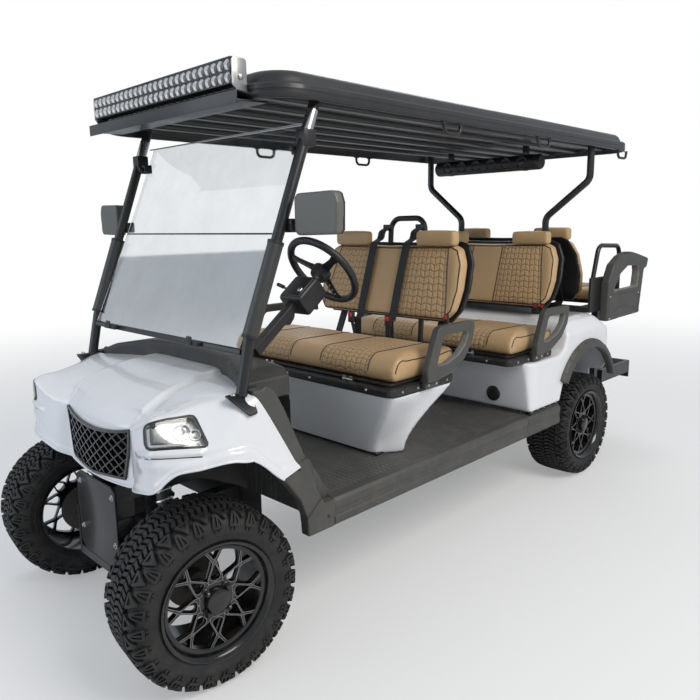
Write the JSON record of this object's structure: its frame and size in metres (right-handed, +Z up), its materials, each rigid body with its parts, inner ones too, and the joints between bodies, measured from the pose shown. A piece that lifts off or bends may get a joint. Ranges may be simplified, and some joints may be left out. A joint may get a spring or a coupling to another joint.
{
  "type": "golf cart",
  "caption": "Lifted electric golf cart with two forward benches, a rear-facing flip seat, a roof on posts and steered all-terrain wheels.",
  "frame": {"origin": "bottom centre of the cart's bounding box, on the ground", "axes": "+Z up, -Y towards the front of the cart, +X towards the cart's left"},
  "size_m": [1.55, 3.7502, 1.948],
  "materials": {
    "frame_black": "satin black powder coat on steel",
    "cowl_white": "glossy white moulded body",
    "grille_black": "semi-matt black mesh",
    "lamp_clear": "clear polycarbonate lens",
    "bezel_black": "gloss black lamp housing",
    "trim_grey": "grained dark grey moulding",
    "dash_black": "grained black moulding",
    "floor_mat": "ribbed rubber floor mat",
    "leather_tan": "tan quilted synthetic leather with black piping",
    "shell_black": "moulded black seat shell",
    "belt_black": "woven black webbing",
    "roof_black": "black moulded roof",
    "tyre_rubber": "dark tread rubber",
    "rim_black": "gloss black alloy with machined edges",
    "steel_grey": "bare steel and castings",
    "spring_chrome": "bright spring steel",
    "lamp_red": "red lens",
    "window_clear": "clear acrylic sheet",
    "led_black": "finned black aluminium housing",
    "battery_grey": "plain battery case"
  },
  "bodies": {
    "chassis": {"armrests": "trim_grey", "battery_block": "battery_grey", "bumper_plate": "frame_black", "dash_shroud": "dash_black", "fender_flares": "trim_grey", "floor_panel": "floor_mat", "footplate": "trim_grey", "frame_rails": "frame_black", "front_cowl": "cowl_white", "front_posts": "frame_black", "front_suspension": "frame_black", "grille": "grille_black", "headlamp_bezels": "bezel_black", "headlamp_lenses": "lamp_clear", "light_bar": "led_black", "light_bar_bracket": "frame_black", "mirrors": "trim_grey", "pedals": "frame_black", "rear_armrests": "trim_grey", "rear_axle": "steel_grey", "rear_body": "cowl_white", "rear_posts": "frame_black", "rear_seat_frame": "frame_black", "rockers": "trim_grey", "roof": "roof_black", "roof_handles": "frame_black", "seat_backs": "leather_tan", "seat_belts": "belt_black", "seat_pod": "cowl_white", "seat_shells": "shell_black", "seat_supports": "frame_black", "seat_trays": "dash_black", "sound_bar": "dash_black", "springs": "spring_chrome", "steering_column": "dash_black", "tail_lamps": "lamp_red", "windshield_bar": "frame_black", "windshield_panes": "window_clear"},
    "knuckle_left": {"knuckle_left": "steel_grey"},
    "knuckle_right": {"knuckle_right": "steel_grey"},
    "front_wheel_left": {"front_tyre_left": "tyre_rubber", "front_rim_left": "rim_black"},
    "rear_wheel_left": {"rear_tyre_left": "tyre_rubber", "rear_rim_left": "rim_black"},
    "front_wheel_right": {"front_tyre_right": "tyre_rubber", "front_rim_right": "rim_black"},
    "rear_wheel_right": {"rear_tyre_right": "tyre_rubber", "rear_rim_right": "rim_black"},
    "steering_wheel": {"steering_wheel": "dash_black"},
    "front_seat_lid": {"front_cushion": "leather_tan"},
    "middle_seat_lid": {"middle_cushion": "leather_tan"},
    "rear_seat_flap": {"rear_cushion": "leather_tan"}
  },
  "joints": [
    {"name": "steer_left", "type": "hinge", "parent": "chassis", "child": "knuckle_left", "pos_m": [0.38, -1.56295, 0.292], "axis": [0, 0, 1], "range_deg": [-23.1, 36.9]},
    {"name": "steer_right", "type": "hinge", "parent": "chassis", "child": "knuckle_right", "pos_m": [-0.38, -1.56295, 0.292], "axis": [0, 0, 1], "range_deg": [-23.1, 36.9]},
    {"name": "steering_turn", "type": "hinge", "parent": "chassis", "child": "steering_wheel", "pos_m": [0.275, -0.81495, 1.259], "axis": [0, 0.788, 0.6157], "range_deg": [-277.2, 442.8]},
    {"name": "front_wheel_left_roll", "type": "hinge", "parent": "knuckle_left", "child": "front_wheel_left", "pos_m": [0.49615, -1.577, 0.292], "axis": [0.9928, -0.1201, 0], "continuous": true},
    {"name": "front_wheel_right_roll", "type": "hinge", "parent": "knuckle_right", "child": "front_wheel_right", "pos_m": [-0.49615, -1.54889, 0.292], "axis": [0.9928, -0.1201, 0], "continuous": true},
    {"name": "rear_wheel_left_roll", "type": "hinge", "parent": "chassis", "child": "rear_wheel_left", "pos_m": [0.497, 0.91705, 0.292], "axis": [1, 0, 0], "continuous": true},
    {"name": "rear_wheel_right_roll", "type": "hinge", "parent": "chassis", "child": "rear_wheel_right", "pos_m": [-0.497, 0.91705, 0.292], "axis": [1, 0, 0], "continuous": true},
    {"name": "front_seat_lift", "type": "hinge", "parent": "chassis", "child": "front_seat_lid", "pos_m": [0, -0.70495, 0.797], "axis": [1, 0, 0], "range_deg": [0, 60]},
    {"name": "middle_seat_lift", "type": "hinge", "parent": "chassis", "child": "middle_seat_lid", "pos_m": [0, 0.17505, 0.779], "axis": [1, 0, 0], "range_deg": [0, 60]},
    {"name": "rear_seat_flip", "type": "hinge", "parent": "chassis", "child": "rear_seat_flap", "pos_m": [0, 1.59805, 0.9526], "axis": [-1, 0, 0], "range_deg": [0, 180]}
  ],
  "couplings": [
    {"joint": "steer_right", "follows": "steer_left", "ratio": 1},
    {"joint": "steering_turn", "follows": "steer_left", "ratio": 12}
  ]
}
